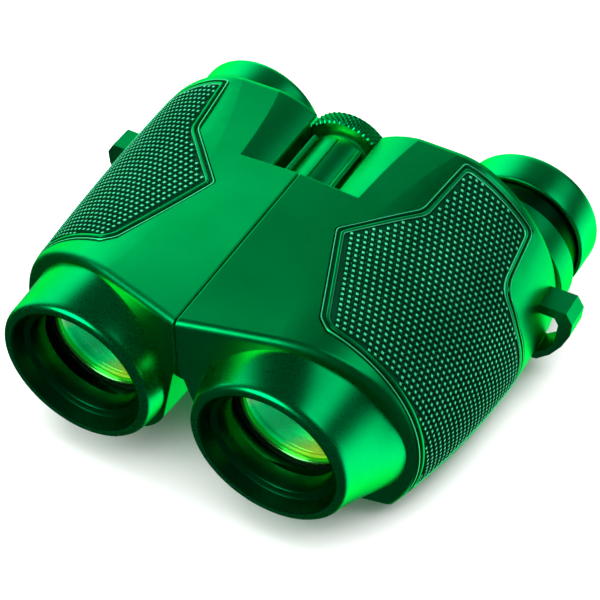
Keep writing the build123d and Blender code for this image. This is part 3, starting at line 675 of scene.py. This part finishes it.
# The first entry whose text is in a node's name gives the node's finish.
FINISHES = (("body_shell", BODY), ("bottom_cover", BODY), ("screws", STEEL), ("objective_barrel", BLACK),
            ("seal", SEAL), ("prism_shelf", BLACK), ("clip", STEEL), ("_prism", PRISM),
            ("eyepiece_tube", SLEEVE), ("ocular_cell", BLACK), ("lens", LENS), ("ocular_ring", BLACK),
            ("collar", BODY), ("dioptre_ring", BODY), ("sleeve", SLEEVE), ("focus_arm", BLACK),
            ("pin", STEEL), ("tube", STEEL), ("hinge_barrel", BODY), ("focus_screw", BRASS),
            ("focus_nut", BRASS), ("circlip", STEEL), ("washer", NYLON), ("knob_cap", KNOB),
            ("knob_screw", STEEL))
for name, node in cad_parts.items():
    if not node.hide_render:
        node.data.materials.clear()
        node.data.materials.append(next(material for part, material in FINISHES if part in name))

# ---------------------------------------------------------------- floor, lights and camera

# These lengths are in metres.
FLOOR_HALF = 3.0
FILL_PLACE = (0.1, 0.1, 1.2)
FILL_TARGET = (0.0, 0.0, 0.03)
FILL_SIZE = 1.5
FILL_POWER = 36.0
# Soft boxes all round: direction, half angle of the full light, half angle where it ends, strength.
BOXES = (((-0.8, 0.58, 0.1), 15, 49, 1.7), ((0.6, 0.45, 0.66), 4, 20, 1.4),
         ((0.55, 0.55, -0.6), 15, 45, 2.0), ((-0.35, -0.71, 0.61), 14, 28, 5.0),
         ((-0.1, 0.95, 0.25), 8, 30, 0.6))
AMBIENT = 0.06
AZIMUTH = math.radians(29.661)
ELEVATION = math.radians(45.342)
ROLL = math.radians(-0.591)
CAMERA_PLACE = (0.1429, -0.2467, 0.3040)
FOCAL_MM = 108.7
SENSOR_MM = 36.0
CLIP_START = 0.01


def stage_floor():
    mesh = bpy.data.meshes.new("floor")
    corners = [(x * FLOOR_HALF, y * FLOOR_HALF, 0) for x, y in ((-1, -1), (1, -1), (1, 1), (-1, 1))]
    mesh.from_pydata(corners, [], [(0, 1, 2, 3)])
    mat, _, shader = nodes_of("pale_floor")
    shader.inputs["Base Color"].default_value = (0.93, 0.93, 0.93, 1.0)
    shader.inputs["Roughness"].default_value = 0.65
    mesh.materials.append(mat)
    floor = bpy.data.objects.new("floor", mesh)
    bpy.context.scene.collection.objects.link(floor)
    # Out of the reflections, which keeps the green metal full of contrast.
    floor.visible_glossy = False


def floor_fill():
    data = bpy.data.lights.new("floor_fill", "AREA")
    data.shape = "RECTANGLE"
    data.size = data.size_y = FILL_SIZE
    data.energy = FILL_POWER
    lamp = bpy.data.objects.new("floor_fill", data)
    lamp.location = FILL_PLACE
    lamp.rotation_mode = "QUATERNION"
    lamp.rotation_quaternion = (Vector(FILL_TARGET) - Vector(FILL_PLACE)).to_track_quat("-Z", "Y")
    bpy.context.scene.collection.objects.link(lamp)
    lamp.visible_glossy = False


def studio_world():
    """A dim surrounding with soft boxes, each a smooth step in the angle from its direction."""
    world = bpy.data.worlds.new("studio")
    bpy.context.scene.world = world
    world.use_nodes = True
    tree = world.node_tree
    direction = tree.nodes.new("ShaderNodeTexCoord").outputs["Generated"]
    total = None
    for aim, full, end, strength in BOXES:
        across = add_node(tree, "ShaderNodeVectorMath", operation="DOT_PRODUCT")
        tree.links.new(direction, across.inputs[0])
        across.inputs[1].default_value = Vector(aim).normalized()
        edge = add_node(tree, "ShaderNodeMapRange", interpolation_type="SMOOTHSTEP")
        tree.links.new(across.outputs["Value"], edge.inputs["Value"])
        edge.inputs["From Min"].default_value = math.cos(math.radians(end))
        edge.inputs["From Max"].default_value = math.cos(math.radians(full))
        edge.inputs["To Min"].default_value = 0.0
        edge.inputs["To Max"].default_value = strength
        plus = add_node(tree, "ShaderNodeMath", operation="ADD")
        tree.links.new(edge.outputs["Result"], plus.inputs[0])
        if total is None:
            plus.inputs[1].default_value = AMBIENT
        else:
            tree.links.new(total, plus.inputs[1])
        total = plus.outputs["Value"]
    background = tree.nodes["Background"]
    background.inputs["Color"].default_value = (1, 1, 1, 1)
    tree.links.new(total, background.inputs["Strength"])
    world.cycles.sampling_method = "NONE"


def place_camera():
    """The camera at the photo's viewing angle."""
    back = Vector((math.sin(AZIMUTH) * math.cos(ELEVATION), -math.cos(AZIMUTH) * math.cos(ELEVATION),
                   math.sin(ELEVATION)))
    level = Vector((math.cos(AZIMUTH), math.sin(AZIMUTH), 0))
    upright = back.cross(level)
    right = level * math.cos(ROLL) + upright * math.sin(ROLL)
    upward = upright * math.cos(ROLL) - level * math.sin(ROLL)
    data = bpy.data.cameras.new("camera")
    data.lens = FOCAL_MM
    data.sensor_width = SENSOR_MM
    data.clip_start = CLIP_START
    camera = bpy.data.objects.new("camera", data)
    x, y, z = CAMERA_PLACE
    camera.matrix_world = Matrix(((right.x, upward.x, back.x, x), (right.y, upward.y, back.y, y),
                                  (right.z, upward.z, back.z, z), (0, 0, 0, 1)))
    bpy.context.scene.collection.objects.link(camera)
    bpy.context.scene.camera = camera


stage_floor()
floor_fill()
studio_world()
place_camera()
bpy.context.scene.view_settings.view_transform = "Standard"
